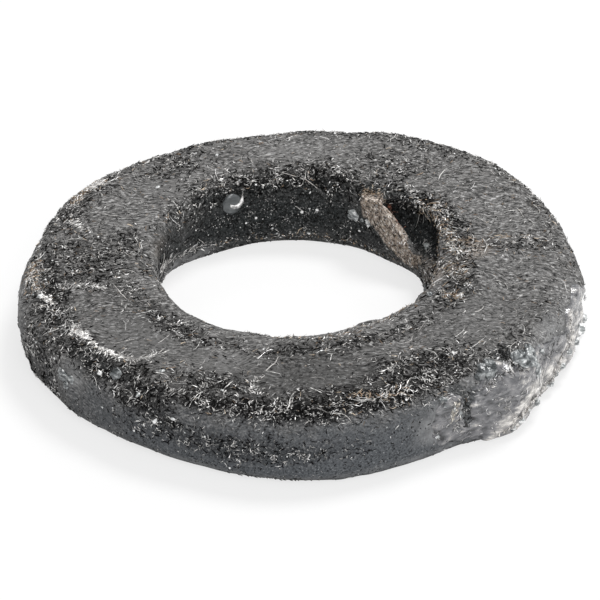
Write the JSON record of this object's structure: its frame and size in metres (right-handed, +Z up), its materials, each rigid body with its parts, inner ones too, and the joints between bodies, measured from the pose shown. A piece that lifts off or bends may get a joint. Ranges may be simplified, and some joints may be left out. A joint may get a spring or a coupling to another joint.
{
  "type": "urinal gasket",
  "caption": "Thick felt sealing ring for a wall urinal's outlet, soaked in grey wax grease, sagged out of round, with a tongue of felt torn loose inside the bore.",
  "frame": {"origin": "middle of the ring's footprint, on its flat underside", "axes": "+Z up through the ring's thickness, out of the outlet towards the urinal; -Y towards the picture's camera"},
  "size_m": [0.1098, 0.1096, 0.015],
  "materials": {
    "waxed_felt": "dark grey wool felt, pressed and greasy, with loose fibres"
  },
  "bodies": {
    "root": {"felt_ring": "waxed_felt"}
  },
  "joints": []
}
